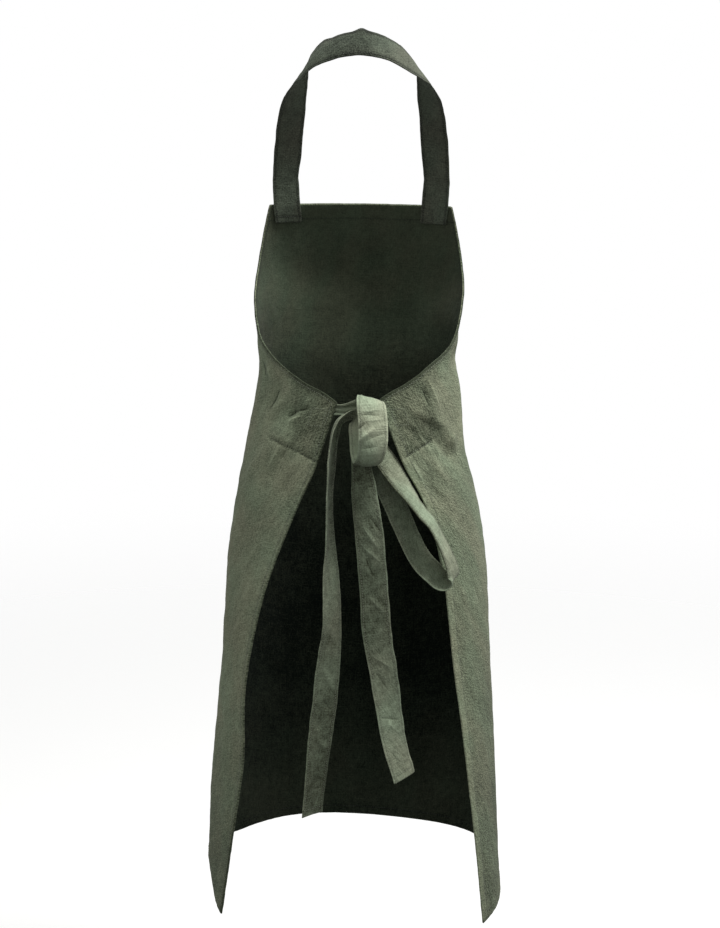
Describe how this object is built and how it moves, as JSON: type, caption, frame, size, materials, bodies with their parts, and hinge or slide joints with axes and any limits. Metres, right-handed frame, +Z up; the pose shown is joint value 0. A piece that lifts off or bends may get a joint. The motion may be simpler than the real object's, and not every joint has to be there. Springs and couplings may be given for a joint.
{
  "type": "apron",
  "caption": "Linen apron in its worn form: wrapped bib and skirt panel, a band round the neck and long waist ties in a drooping bow at the open back.",
  "frame": {"origin": "middle of the neck strap at the nape, where the apron hangs on the wearer's neck", "axes": "+Z up, +Y towards the wearer's front, +X towards the wearer's right"},
  "size_m": [0.3893, 0.2721, 1.1206],
  "materials": {
    "panel_linen": "matte sage green linen, plain weave",
    "strap_linen": "matte sage green linen, doubled and stitched",
    "tie_linen": "matte sage green linen, doubled and stitched"
  },
  "bodies": {
    "root": {"apron_panel": "panel_linen", "neck_strap": "strap_linen", "tie_left": "tie_linen", "tie_right": "tie_linen"}
  },
  "joints": []
}
